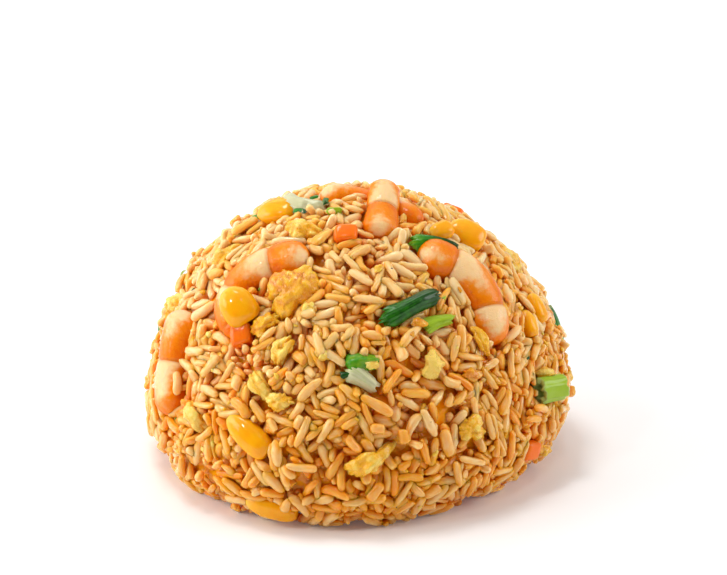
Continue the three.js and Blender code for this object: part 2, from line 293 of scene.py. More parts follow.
class Look:
    def __init__(self, name, **constants):
        self.material = bpy.data.materials.new(name)
        self.material.use_nodes = True
        self.tree = self.material.node_tree
        self.tree.nodes.clear()
        self.shader = self.tree.nodes.new("ShaderNodeBsdfPrincipled")
        output = self.tree.nodes.new("ShaderNodeOutputMaterial")
        self.tree.links.new(self.shader.outputs[0], output.inputs[0])
        self.shader.subsurface_method = "RANDOM_WALK"
        self.wear(**constants)
        self.coordinates = None

    def wear(self, **sockets):
        # sets or links sockets of the shader; a name is the socket's, without its spaces
        for socket in self.shader.inputs:
            key = socket.name.replace(" ", "")
            if key in sockets:
                self.feed(socket, sockets[key])

    def feed(self, socket, value):
        if isinstance(value, Value):
            self.tree.links.new(value.socket, socket)
        elif isinstance(value, tuple) and socket.type == "RGBA":
            socket.default_value = (*value, 1.0)
        else:
            socket.default_value = value

    def node(self, kind, settings=None, sockets=None, output=0):
        made = self.tree.nodes.new("ShaderNode" + kind)
        for key, value in (settings or {}).items():
            setattr(made, key, value)
        for key, value in (sockets or {}).items():
            self.feed(made.inputs[key], value)
        return Value(self, made.outputs[output])

    def mark(self, name):
        return self.node("Attribute", {"attribute_name": name}, None, "Fac")

    def mix(self, share, first, second, blend="MIX"):
        settings = {"data_type": "RGBA", "blend_type": blend}
        return self.node("Mix", settings, {0: share, 6: first, 7: second}, 2)

    def sized(self, size):
        # sockets of a texture with features of about size millimetres
        if self.coordinates is None:
            self.coordinates = self.node("TexCoord", None, None, "Object")
        return {"Vector": self.coordinates, "Scale": 1 / (size * metre)}

    def noise(self, size, detail=2.0, roughness=0.5):
        sockets = {**self.sized(size), "Detail": detail, "Roughness": roughness}
        return self.node("TexNoise", None, sockets, "Fac")

    def cells(self, size):
        return self.node("TexVoronoi", {"feature": "F1"}, self.sized(size), "Distance")

    def relief(self, height, depth, strength=1.0):
        # bump, with depth in millimetres
        sockets = {"Height": height, "Distance": depth * metre, "Strength": strength}
        self.wear(Normal=self.node("Bump", None, sockets))


class Room(Look):
    # the same shader writing for the room's light
    def __init__(self, name):
        self.world = bpy.data.worlds.new(name)
        self.world.use_nodes = True
        self.tree = self.world.node_tree

    def background(self, colour):
        self.feed(self.tree.nodes["Background"].inputs["Color"], colour)


# Toppings. Each row has its place (degrees around, degrees up, millimetres out of the dome), how
# it is turned (about the way out, pitch of its length, roll about its length) and its sizes.
shrimps = {
    "names": [
        "shrimp_" + name
        for name in ("left", "left_low", "right", "top", "top_tail", "back", "back_low")
    ],
    # sizes: length, bend, how tight the bend grows, thickness and share of it left at the tail;
    # then the shares of the length where one shell ring ends and the next starts
    "rows": (
        (
            (-135, 55, -0.6), (-152, 17, -18), (33, 165, 1.9, 9.4, 0.66),
            (-0.12, 0.27, 0.6, 0.86),
        ),
        ((-153, 32, -1.4), (-89, 3, -19), (25, 40, 1.4, 10, 0.8), (-0.1, 0.5, 1.1)),
        ((-39, 54, -0.8), (-28, 19, 15), (30, -115, 1.1, 10, 0.84), (-0.15, 0.27, 0.72, 1.1)),
        ((-31, 84.5, -2.6), (-45, 0, 0), (27, -75, 1.2, 7.8, 0.8), (-0.1, 0.45, 1.0)),
        ((-60, 78.5, -0.4), (56, 20, 0), (18, 6, 1, 8.6, 0.78), (-0.2, 0.5, 1.2)),
        ((66, 46, -0.6), (40, 0, 0), (33, 150, 1.6, 9.4, 0.66), (-0.1, 0.22, 0.5, 0.75)),
        ((128, 32, -0.8), (-60, 0, 0), (31, 140, 1.5, 9, 0.7), (-0.1, 0.25, 0.55, 0.8)),
    ),
    "sides": 44,
    "rings": 100,
    "depth": 0.9,
    "roundEnd": 0.16,
}


def curledLine(length, angle, tight, steps):
    heading = angle * (np.arange(steps + 1) / steps) ** tight
    walk = np.stack([np.cos(heading), np.sin(heading)], 1)[:-1] * length / steps
    place = np.vstack([[0, 0], np.cumsum(walk, 0)])
    return place - place[steps // 2], heading


def shrimpForm(sizes, joints):
    length, bend, tight, thick, tail = sizes
    along, angle, triangles = ballGrid(shrimps["sides"], shrimps["rings"])
    steps = 4 * (shrimps["rings"] + 1)
    place, heading = curledLine(length, math.radians(bend), tight, steps)
    at = np.round(along * steps).astype(int)
    place, heading = place[at], heading[at]
    side = 1 if bend > 0 else -1
    back = np.stack([np.sin(heading), -np.cos(heading), 0 * heading], 1) * side
    end = np.clip(np.minimum(along, 1 - along) / shrimps["roundEnd"], 0, 1)
    full = np.sqrt(1 - (1 - end) ** 2)
    edges = np.array(joints)
    ring = np.clip(np.searchsorted(edges, along, "right") - 1, 0, len(edges) - 2)
    share = (along - edges[ring]) / (edges[ring + 1] - edges[ring])
    toEdge = np.min(np.abs(along[:, None] - edges[None, :]), axis=1) * length
    groove = np.exp(-((toEdge / 0.4) ** 2))
    swell = 0.11 * np.sin(math.pi * np.clip(share, 0, 1) ** 0.8) ** 0.7
    fromBack = np.abs((angle + math.pi) % (2 * math.pi) - math.pi)
    vein = np.exp(-((fromBack / 0.14) ** 2))
    belly = np.exp(-(((math.pi - fromBack) / 0.5) ** 2))
    size = (thick / 2) * (1 - (1 - tail) * along) * full
    size = size * (1 + swell - 0.07 * groove - 0.035 * vein - 0.1 * belly)
    points = np.zeros((len(along), 3))
    points[:, :2] = place
    points += back * (size * np.cos(angle))[:, None]
    points[:, 2] += size * np.sin(angle) * shrimps["depth"]
    fibres = lumps(np.stack([along * length * 1.6, 2.2 * angle, 0 * along], 1), 1.0, 3)
    points += back * (0.06 * fibres * full)[:, None]
    blotch = lumps(points, 2.6, 5) * 0.5 + lumps(points, 0.9, 9) * 0.25
    blotch += 0.3 * fibres
    flank = np.clip(1 - np.abs(np.sin(angle)), 0, 1)
    colour = np.clip((share * 1.05 + 1.1 * flank ** 0.85 + 0.26 * blotch - 0.4) / 0.8, 0, 1)
    marks = {"ringShare": share, "orange": colour, "belly": belly, "edge": groove, "vein": vein}
    return points, triangles, marks


kernels = {
    "names": [f"corn_{number}" for number in range(1, 13)],
    "rows": (  # length, width, thickness
        ((-127, 48, 2.4), (-42, -35, -15), (9.6, 9.2, 7)),
        ((-17, 64, 0.6), (-82, 4, 33), (9.6, 8, 5.6)),
        ((-32, 68, 0.2), (-18, 20, 14), (6.6, 5.2, 4.2)),
        ((-116, 22, -0.8), (-33, -5, -7), (13, 7, 5.4)),
        ((-111, 4, -1.8), (-13, -6, -23), (12.5, 6, 6)),
        ((-165, 73, 0.4), (64, -9, 22), (10, 7.6, 5)),
        ((-11, 41, 0.2), (-107, -1, 13), (8, 5, 4.2)),
        ((-21, 40, -0.5), (-109, -2, 11), (7, 4.4, 4.2)),
        ((34, 44, -0.4), (60, 0, 0), (9.6, 8, 5.4)),
        ((92, 30, -0.4), (-20, 0, 0), (9.8, 8.2, 5.4)),
        ((148, 48, -0.3), (130, 0, 0), (9, 7.8, 5.2)),
        ((164, 14, -0.6), (40, 0, 0), (9.8, 7.4, 5)),
    ),
    "sides": 36,
    "rings": 30,
    "blunt": 0.8,
}


def kernelForm(sizes, seed):
    length, width, thick = sizes
    x, y, z, triangles = roundForm(kernels["sides"], kernels["rings"])

    def blunted(v):
        return np.sign(v) * np.abs(v) ** kernels["blunt"]

    taper = 1 - 0.3 * ((1 - x) / 2) ** 1.4
    dimple = 1 - 0.11 * np.exp(-((np.hypot(y, z) / 0.3) ** 2)) * (x > 0)
    points = np.stack([
        blunted(x) * length / 2 * dimple,
        blunted(y) * width / 2 * taper,
        blunted(z) * thick / 2 * taper,
    ], 1)
    pinch = lumps(np.stack([x * 1.2, 3 * y, 3 * z], 1) + seed, 1.0, 2)
    creases = np.abs(lumps(np.stack([1.4 * x, 5 * y, 5 * z], 1) + 2 * seed, 1.0, 4))
    points *= (1 + 0.02 * pinch - 0.018 * creases)[:, None]
    marks = {"root": (1 - x) / 2, "crease": creases}
    return points, triangles, marks


dice = {
    "names": [f"carrot_{number}" for number in range(1, 7)],
    "rows": (  # length, width, thickness
        ((-95, 70, -0.4), (9, 1, 20), (5.4, 4.2, 4.6)),
        ((-125, 43, -0.8), (32, -15, 16), (4.8, 5, 5)),
        ((-34, 11, -1.4), (-10, 11, -4), (5.4, 4.4, 4.6)),
        ((38, 60, -0.7), (30, 0, 12), (6.2, 5.6, 5)),
        ((70, 14, -0.8), (60, 0, 8), (6, 5.6, 5)),
        ((128, 62, -0.8), (10, 0, 14), (6.4, 5.4, 5.2)),
    ),
    "sides": 32,
    "rings": 26,
    "square": 0.42,
    "skew": 0.12,
}


def diceForm(sizes, seed):
    length, width, thick = sizes
    x, y, z, triangles = roundForm(dice["sides"], dice["rings"])
    ball = np.stack([x, y, z], 1)
    cube = np.sign(ball) * np.abs(ball) ** dice["square"]
    cube /= np.maximum(np.abs(cube).max(1), 0.999)[:, None]
    points = cube * np.array([length, width, thick]) / 2
    points[:, 0] += dice["skew"] * points[:, 1]
    points[:, 1] *= 1 - 0.04 * cube[:, 0]
    uneven = 0.12 * lumps(points + 7 * seed, 2.2, 6) + 0.05 * lumps(points, 0.7, 8)
    points += unit(points) * uneven[:, None]
    return points, triangles, {"corner": np.clip(np.linalg.norm(cube, axis=1) - 1.1, 0, 1)}


onions = {
    "names": [f"spring_onion_{number}" for number in range(1, 11)],
    # sizes: length, width, squash (a negative one is a flat torn leaf) and bend; then how green
    # it is at its start and end, from 0 white through light to 1 dark green
    "rows": (
        ((-71, 51, 1), (14, 9, 5), (13.6, 5, -0.5, 14), (0.82, 1.0)),
        ((-47, 65, 1), (-34, 10, 20), (10.4, 4.6, -0.5, 10), (0.6, 1.1)),
        ((-63, 47, 0.2), (10, 11, 3), (7.4, 3.4, -0.5, 6), (0.42, 0.36)),
        ((-88, 36, 0), (-25, 0, 1), (7.4, 4.8, -0.5, 14), (0.1, 0.0)),
        ((-23, 24, 0.5), (-10, 26, -3), (7.4, 6.4, 0.8, 4), (0.42, 0.38)),
        ((-155, 78, 0.8), (33, -13, 15), (11.8, 7.6, -0.4, 12), (0.0, 0.05)),
        ((10, 30, 0.3), (70, 0, 0), (9, 5, 0.6, 14), (0.6, 0.9)),
        ((92, 60, 0.3), (-30, 0, 0), (10, 5.2, -0.5, 12), (0.4, 0.8)),
        ((112, 12, 0.2), (20, 0, 0), (7.6, 6, 0.8, 6), (0.5, 0.35)),
        ((166, 32, 0.2), (110, 0, 0), (9.6, 4.8, -0.5, 16), (0.7, 1.0)),
    ),
    "leafGrid": (48, 44),
    "sides": 48,
    "steps": 22,
    "bore": 0.55,
    "ridges": 13,
    "ridgeHeight": 0.05,
}


def bentOver(points, bend, length):
    share = points[:, 0] / length
    points[:, 2] -= length * math.radians(bend) * share * share
    return points


def leafForm(sizes, green, seed, grid=None):
    # a leaf cut across and torn: folded along its middle, fibres standing out at both ends
    length, width, squash, bend = sizes
    along, angle, triangles = ballGrid(*(grid or onions["leafGrid"]))
    x = -np.cos(math.pi * along)
    body = np.clip(1 - np.abs(x) ** 9, 0, 1) ** 0.5
    y = np.cos(angle) * body
    fibre = lumps(np.stack([3.2 * y, 0.8 * np.sin(angle), np.sign(x)], 1) + 3 * seed, 1.0, 5)
    fibre += 0.5 * lumps(np.stack([9 * y, 1.5 * np.sin(angle), np.sign(x)], 1) + 5 * seed, 1.0, 6)
    narrow = 0.86 - 0.2 * x + 0.22 * x * x + 0.08 * np.sin(2 * x + seed)
    ridge = np.cos(onions["ridges"] * y * 1.7 + seed)
    thick = width * -squash / 2 * (1 - 0.45 * np.abs(y)) * (1 + 0.2 * ridge)
    points = np.stack([
        length / 2 * (x + 0.27 * fibre * np.abs(x) ** 5),
        width / 2 * y * narrow,
        thick * np.sin(angle) * body - 0.22 * width * np.abs(y) ** 1.4 * (1 + 0.4 * x),
    ], 1)
    rumple = 0.25 * lumps(points + 5 * seed, 2.6, 3) + 0.1 * lumps(points, 1.1, 4)
    points[:, 2] += rumple * width / 5
    points[:, 1] += 0.5 * np.sin(1.6 * x + seed) * width / 5
    points = bentOver(points, bend, length)
    shade = green[0] + (green[1] - green[0]) * (x + 1) / 2
    return points, triangles, {"green": shade, "skin": np.ones(len(x)), "ridge": ridge}


def onionForm(sizes, green, seed):
    length, width, squash, bend = sizes
    if squash < 0:
        return leafForm(sizes, green, seed)
    steps = onions["steps"]
    half, outer = length / 2, width / 2
    inner = outer * onions["bore"]
    run = np.linspace(-1, 1, steps)
    rim = np.array([0.33, 0.67])
    # once around the wall's section: out along the skin, over the cut end, back along the bore
    across = np.concatenate([
        np.full(steps, 1.0), 1 - rim, np.full(steps, 0.0), rim])
    x = np.concatenate([run, np.full(2, 1.0), run[::-1], np.full(2, -1.0)])
    row, angle, triangles = tubeGrid(onions["sides"], len(x))
    across, x = across[row], x[row]
    ridge = np.cos(onions["ridges"] * angle + 2 * seed) * (0.6 + 0.4 * np.cos(3 * angle + seed))
    radius = inner + (outer - inner) * across
    radius = radius * (1 + onions["ridgeHeight"] * ridge * across)
    radius = radius * (1 + 0.05 * np.sin(2.2 * x + seed) + 0.03 * np.cos(2 * angle + 3 * x))
    tear = 0.09 * np.sin(5 * angle + seed) + 0.06 * np.sin(11 * angle + 2 * seed)
    points = np.stack([
        half * (x + tear * np.abs(x) ** 3),
        radius * np.cos(angle),
        radius * np.sin(angle) * squash,
    ], 1)
    points += unit(points) * (0.1 * lumps(points + 5 * seed, 2.5, 3))[:, None]
    points = bentOver(points, bend, length)
    shade = green[0] + (green[1] - green[0]) * (x + 1) / 2
    skin = np.clip(across * 1.5 - 0.5, 0, 1) * (np.abs(x) < 0.99)
    return points, triangles, {"green": shade, "skin": skin, "ridge": ridge}


flakes = {
    "names": [f"egg_{number}" for number in range(1, 19)],
    # sizes: length, width, thickness, lobes and curl; then how far it was fried, from pale
    # yellow at 0 to brown at 1
    "rows": (
        ((-112, 54, 0.4), (64, 6, 14), (12.5, 10, 4.6, 5, 20), 0.75),
        ((-118, 46, 0), (46, -3, 11), (8, 3.8, 3, 3, 30), 0.6),
        ((-110, 41, -0.2), (68, 0, 3), (7.4, 4, 3, 3, 10), 0.25),
        ((-115, 33, 0), (-36, -2, -2), (8.6, 3.6, 2.8, 4, 60), 0.1),
        ((-109, 30, -0.2), (12, -2, 0), (6.2, 3.8, 2.8, 3, 10), 0.2),
        ((-68, 38, -0.1), (67, 2, -2), (6.2, 4.4, 3.4, 4, 10), 0.0),
        ((-59, 23, 0.1), (-29, 8, 2), (7, 5, 3.4, 5, 20), 0.35),
        ((-87, 18, 0.4), (31, 0, -2), (12, 5, 3.2, 3, 50), 0.3),
        ((-49, 41, 0.1), (-84, 0, 9), (8, 3, 2.6, 2, 25), 0.45),
        ((-22, 27.5, 0.2), (-12, 12, -1), (6, 3.4, 2.8, 3, 70), 0.4),
        ((-123, 70, 0.2), (3, -15, 17), (9, 5.4, 3.8, 4, 20), 0.4),
        ((-160, 58, 0), (82, -2, 12), (8.4, 5.6, 3.6, 4, 25), 0.5),
        ((-135, 23, 0), (-34, -7, -8), (8.4, 4, 2.8, 3, 40), 0.2),
        ((2, 52, 0), (50, 0, 0), (10, 6.4, 3.6, 5, 20), 0.3),
        ((48, 24, 0), (15, 0, 0), (11, 6, 3.6, 4, 30), 0.5),
        ((106, 50, 0), (-40, 0, 0), (12, 8, 4.2, 5, 20), 0.7),
        ((146, 10, -0.1), (25, 0, 0), (9, 4.6, 3, 3, 40), 0.2),
        ((-176, 40, -0.1), (75, 0, 0), (10, 4.6, 3, 3, 45), 0.3),
    ),
    "grid": (48, 36),
}


def flakeForm(sizes, fried, seed, grid=None):
    length, width, thick, lobes, curl = sizes
    x, y, z, triangles = roundForm(*(grid or flakes["grid"]))
    edge = np.arctan2(y, x)
    rim = np.stack([np.cos(edge), np.sin(edge), 0 * edge], 1) * lobes * 0.42 + 3.3 * seed
    ragged = 1 + 0.34 * lumps(rim, 1.0, 7) + 0.16 * lumps(rim * 2.6, 1.0, 8)
    ragged = ragged + 0.07 * lumps(rim * 6, 1.0, 9)
    puff = 1 + 0.4 * lumps(np.stack([2.2 * x, 2.2 * y, 0 * x], 1) + seed, 1.0, 3)
    points = np.stack([x * ragged * length / 2, y * ragged * width / 2, z * thick / 2 * puff], 1)
    way = unit(points / np.array([length, width, thick]) ** 2)
    creased = np.abs(lumps(points + seed, 1.7, 2))
    crumbly = 0.3 * lumps(points + 11 * seed, 2.6, 1) + 0.95 * creased - 0.3
    crumbly = crumbly * min(1, thick / 2.4)
    points += way * crumbly[:, None]
    points = bentOver(points, curl, length)
    marks = {"fried": np.full(len(points), fried), "high": crumbly}
    return points, triangles, marks


def shaped(table, form, seeded=True):
    # name -> points in place, triangles and marks, for every row of a table
    made = {}
    for number, (name, row) in enumerate(zip(table["names"], table["rows"])):
        seed = (number,) if seeded else ()
        made[name] = setDown(form(*row[2:], *seed), *lieAt(*row[:2]))
        made[name][0][:, 2] = np.maximum(made[name][0][:, 2], 0)  # none reaches under the ground
    return made


toppings = {
    "shrimp": shaped(shrimps, shrimpForm, seeded=False),
    "corn": shaped(kernels, kernelForm),
    "carrot": shaped(dice, diceForm),
    "spring_onion": shaped(onions, onionForm),
    "egg": shaped(flakes, flakeForm),
}
print("toppings shaped:", sum(len(made) for made in toppings.values()))


# rice grains, packed in a shell
grains = {
    "count": 6500,
    "wholeLength": 6.8,
    "wholeSpread": 0.65,
    "wholeRange": (5.9, 8.9),
    "brokenShare": 0.3,
    "brokenLength": (3.6, 5.8),
    "width": 2.2,
    "widthSpread": 0.24,
    "widthRange": (1.7, 2.8),
    "flat": 0.86,  # thickness over width
    "balls": 5,  # balls along a grain, for the packing
    "touch": 0.35,  # radius of those balls over the width
    "shell": 6.6,  # how deep the grains reach under the dome
    "under": 4.6,  # and over the ground, below the core
    "proud": 0.1,  # how far a grain may stand out of the smooth dome
    "uneven": 1.15,  # depth and size of the heap's own lumps
    "unevenSize": 8.0,
    "own": 0.75,  # spread of each grain's own place in or out of it
    "ownRange": (-2.2, 1.5),  # millimetres in and out
    "outMost": 2.2,  # the most that all of those together may stand out
    "lieFlat": 0.45,  # share of the outward lean that is pressed out of every grain
    "tuck": 2.3,  # how far the grains draw in at the ground
    "tuckHeight": 7,
    "bundled": 2.6,  # pull of the bundles' own directions
    "bundleSize": 6.0,
    "pull": 0.03,  # how hard the grains are drawn out against the bowl
    "steps": 110,
    "buried": 0.75,  # a grain this deep in a topping is left out
    "seed": 7,
}
settling = {
    "inset": 1.15,  # radius of the still balls that stand for a topping, and how far apart
    "spacing": 1.5,
    "nearby": 3.4,  # reach of the search for neighbours, looked up again every few steps
    "lookUp": 5,
    "lumpsAgain": 10,
    "offTopping": 0.8,  # shares of an overlap that a step undoes
    "offGrain": 0.4,
    "offWall": 0.8,
    "offCore": 0.6,
    "crowd": (1.6, 0.75),  # a grain that many others touch moves less
    "sideways": 0.9,  # share of a topping's outward push that is taken off
    "keepsWay": 0.2,  # how much a grain holds to its direction
}


def blockers():
    # small still balls just under the skin of every topping, which hold the grains off it
    centres = []
    inset = settling["inset"]
    for made in toppings.values():
        for points, triangles, _ in made.values():
            under = points - normalsOf(points, triangles) * inset
            cell = np.floor(under / settling["spacing"]).astype(np.int64)
            _, pick = np.unique(cell, axis=0, return_index=True)
            centres.append(under[np.sort(pick)])
    centres = np.concatenate(centres)
    return centres, np.full(len(centres), inset)


def cellKeys(points, size, low=None, span=None):
    cell = np.floor(points / size).astype(np.int64)
    if low is None:
        low = cell.min(0) - 2
        span = cell.max(0) - low + 3
    cell = np.clip(cell - low, 0, span - 1)
    return (cell[:, 0] * span[1] + cell[:, 1]) * span[2] + cell[:, 2], low, span


def besideEach(mine, key, span):
    # index pairs of mine against the keyed ones in the same and all the neighbouring cells
    order = np.argsort(key, kind="stable")
    ordered = key[order]
    for dx, dy, dz in itertools.product((-1, 0, 1), repeat=3):
        other = mine + (dx * span[1] + dy) * span[2] + dz
        start = np.searchsorted(ordered, other, "left")
        stop = np.searchsorted(ordered, other, "right")
        for k in range(int((stop - start).max())):
            i = np.nonzero(start + k < stop)[0]
            yield i, order[start[i] + k]


def closePairs(points, reach, moving):
    # every pair nearer than reach with at least one of the first `moving` points in it
    key, _, span = cellKeys(points, reach)
    firsts, seconds = [], []
    for i, j in besideEach(key[:moving], key, span):
        keep = (j >= moving) | (i < j)
        i, j = i[keep], j[keep]
        gap = points[i] - points[j]
        near = (gap * gap).sum(1) < reach * reach
        firsts.append(i[near])
        seconds.append(j[near])
    return np.concatenate(firsts), np.concatenate(seconds)


def ballsAlong(centres, axis, slots):
    return (centres[:, None, :] + axis[:, None, :] * slots[:, :, None]).reshape(-1, 3)


def heapLumps(points):
    # the heap's own unevenness, which the grains and the core share
    return grains["uneven"] * lumps(points, grains["unevenSize"], 11)


def packGrains():
    rng = np.random.default_rng(grains["seed"])
    still, stillRadius = blockers()
    count = grains["count"]
    length = rng.normal(grains["wholeLength"], grains["wholeSpread"], count)
    length = length.clip(*grains["wholeRange"])
    broken = rng.random(count) < grains["brokenShare"]
    length[broken] = rng.uniform(*grains["brokenLength"], broken.sum())
    width = rng.normal(grains["width"], grains["widthSpread"], count).clip(*grains["widthRange"])
    radius = width * grains["touch"]
    ownRise = rng.normal(0, grains["own"], count).clip(*grains["ownRange"])
    ownRise = np.repeat(ownRise, grains["balls"])

    def allowed(points, r):
        above, _ = aboveDome(points)
        low = (above < -r) & (points[:, 2] > r)
        return low & ((above > -grains["shell"]) | (points[:, 2] < grains["under"]))

    centres = np.zeros((0, 3))
    while len(centres) < count:
        trial = rng.uniform((-58, -58, 0), (58, 58, 68), (20000, 3))
        trial = trial[allowed(trial, 1.2)]
        cell, low, span = cellKeys(np.vstack([still, trial]), 2.6)
        taken = set(cell[:len(still)].tolist())
        free = np.array([c not in taken for c in cell[len(still):].tolist()])
        centres = np.vstack([centres, trial[free]])
    centres = centres[:count]
    _, out = aboveDome(centres)
    # grains near each other tend to lie the same way, in small bundles
    bundle = np.stack([lumps(centres, grains["bundleSize"], seed) for seed in (31, 32, 33)], 1)
    axis = rng.normal(size=(count, 3)) + grains["bundled"] * bundle
    axis = unit(axis - out * (axis * out).sum(1)[:, None] * grains["lieFlat"])

    reach = np.linspace(-1, 1, grains["balls"])
    half = (length - width * 0.85) / 2
    slots = half[:, None] * reach[None, :]
    ballRadius = np.repeat(radius, grains["balls"])
    moving = count * grains["balls"]
    allRadius = np.concatenate([ballRadius, stillRadius])
    owner = np.repeat(np.arange(count), grains["balls"])
    own = np.concatenate([owner, np.full(len(still), -1)])
    for step in range(grains["steps"]):
        balls = ballsAlong(centres, axis, slots)
        every = np.vstack([balls, still])
        if step % settling["lookUp"] == 0:
            i, j = closePairs(every, settling["nearby"], moving)
            apart = own[i] != own[j]
            i, j = i[apart], j[apart]
        gap = every[i] - every[j]
        far = np.sqrt((gap * gap).sum(1))
        over = allRadius[i] + allRadius[j] - far
        hit = over > 0
        a, b = i[hit], j[hit]
        push = gap[hit] / np.maximum(far[hit], 1e-6)[:, None] * over[hit][:, None]
        shift = np.zeros((moving, 3))
        fixed = b >= moving
        # a topping only pushes a grain sideways or in, so that none ends up lying on it
        above, out = aboveDome(balls)
        if fixed.any():
            sideways = push[fixed]
            up = (sideways * out[a[fixed]]).sum(1)
            up = np.maximum(up, 0)[:, None]
            push[fixed] = sideways - out[a[fixed]] * up * settling["sideways"]
        loose = b[~fixed]
        share = np.where(fixed, settling["offTopping"], settling["offGrain"])
        for k in range(3):
            shift[:, k] += np.bincount(a, push[:, k] * share, moving)
            shift[:, k] -= np.bincount(loose, push[~fixed][:, k] * settling["offGrain"], moving)
        touches = np.bincount(a, minlength=moving) + np.bincount(loose, minlength=moving)
        least, power = settling["crowd"]
        shift /= np.maximum(touches, least)[:, None] ** power
        if step % settling["lumpsAgain"] == 0:
            bumps = grains["proud"] + ownRise + heapLumps(balls)
            tuck = grains["tuck"] * np.exp(-balls[:, 2] / grains["tuckHeight"])
            bumps = np.minimum(bumps, grains["outMost"]) - tuck
        # the bowl's wall, the core and the table
        shift += out * grains["pull"] * (above > -4)[:, None]
        outBy = above + ballRadius - bumps
        shift -= out * np.clip(outBy, 0, 2)[:, None] * settling["offWall"]
        deep = -grains["shell"] - above + 0.5 * ballRadius
        high = balls[:, 2] - grains["under"]
        inCore = (deep > 0) & (high > 0)
        outwards = inCore & (deep < high)
        downwards = inCore & ~outwards
        rise = np.minimum(deep[outwards], 1.5)[:, None]
        shift[outwards] += out[outwards] * rise * settling["offCore"]
        shift[downwards, 2] -= np.minimum(high[downwards], 1.5) * settling["offCore"]
        shift[:, 2] += np.clip(ballRadius - balls[:, 2], 0, 2)
        moved = (balls + shift).reshape(count, grains["balls"], 3)
        centres = moved.mean(1)
        axis = unit((moved * reach[None, :, None]).sum(1) + axis * settling["keepsWay"])
    # grains that still lie in a topping are left out
    balls = ballsAlong(centres, axis, slots)
    every = np.vstack([balls, still])
    i, j = closePairs(every, 3.0, moving)
    against = j >= moving
    i, j = i[against], j[against]
    over = allRadius[i] + allRadius[j] - np.linalg.norm(every[i] - every[j], axis=1)
    worst = np.zeros(moving)
    np.maximum.at(worst, i, over)
    buried = worst.reshape(count, -1).max(1) > grains["buried"]
    keep = ~buried
    print("grains packed:", int(keep.sum()), "of", count)
    return {
        "centre": centres[keep],
        "axis": axis[keep],
        "length": length[keep],
        "width": width[keep],
        "broken": broken[keep],
        "slots": slots[keep],
    }


packed = packGrains()


def closeness(points, owner, reach):
    # 1 where a point touches a ball of another grain, falling to 0 over the reach
    balls = ballsAlong(packed["centre"], packed["axis"], packed["slots"])
    ballOwner = np.repeat(np.arange(len(packed["length"])), grains["balls"])
    ballRadius = np.repeat(packed["width"] * 0.46, grains["balls"])
    size = reach + ballRadius.max()
    key, low, span = cellKeys(balls, size)
    mine, _, _ = cellKeys(points, size, low, span)
    least = np.full(len(points), reach)
    for i, j in besideEach(mine, key, span):
        gap = np.linalg.norm(points[i] - balls[j], axis=1) - ballRadius[j]
        gap[ballOwner[j] == owner[i]] = reach
        least[i] = np.minimum(least[i], gap)
    return 1 - np.clip(least / reach, 0, 1)


grainShape = {
    "blunt": (2.4, 5.6),  # how square the outline is, then how full
    "full": (0.36, 0.52),
    "taper": (-0.18, 0.18),
    "waist": (-0.1, 0.06),
    "facets": ((2, 0.18), (3, 0.12)),  # waves around the section and their depth
    "twisted": (4, 0.07, 1.5),  # one more, which turns along the grain
    "waves": (0.06, (2, 5)),  # depth and number of the waves along it
    "splitShare": 0.16,  # share of grains with a deep groove; groove depths of those and others
    "splits": ((0.15, 0.3), (0.0, 0.09)),
    "grooveWidth": 0.3,
    "cutBroken": (0.5, 0.86),  # where an end is cut, in shares of half the length
    "cutWhole": (0.9, 1.12),
    "slant": (-0.7, 0.7),
    "worn": 0.22,
    "bend": 0.75,
    "sideBend": (-0.25, 0.25),
    "roll": 0.7,
    "dents": ((0.28, 1.7, 21), (0.08, 0.8, 22)),  # depth, size and seed
}


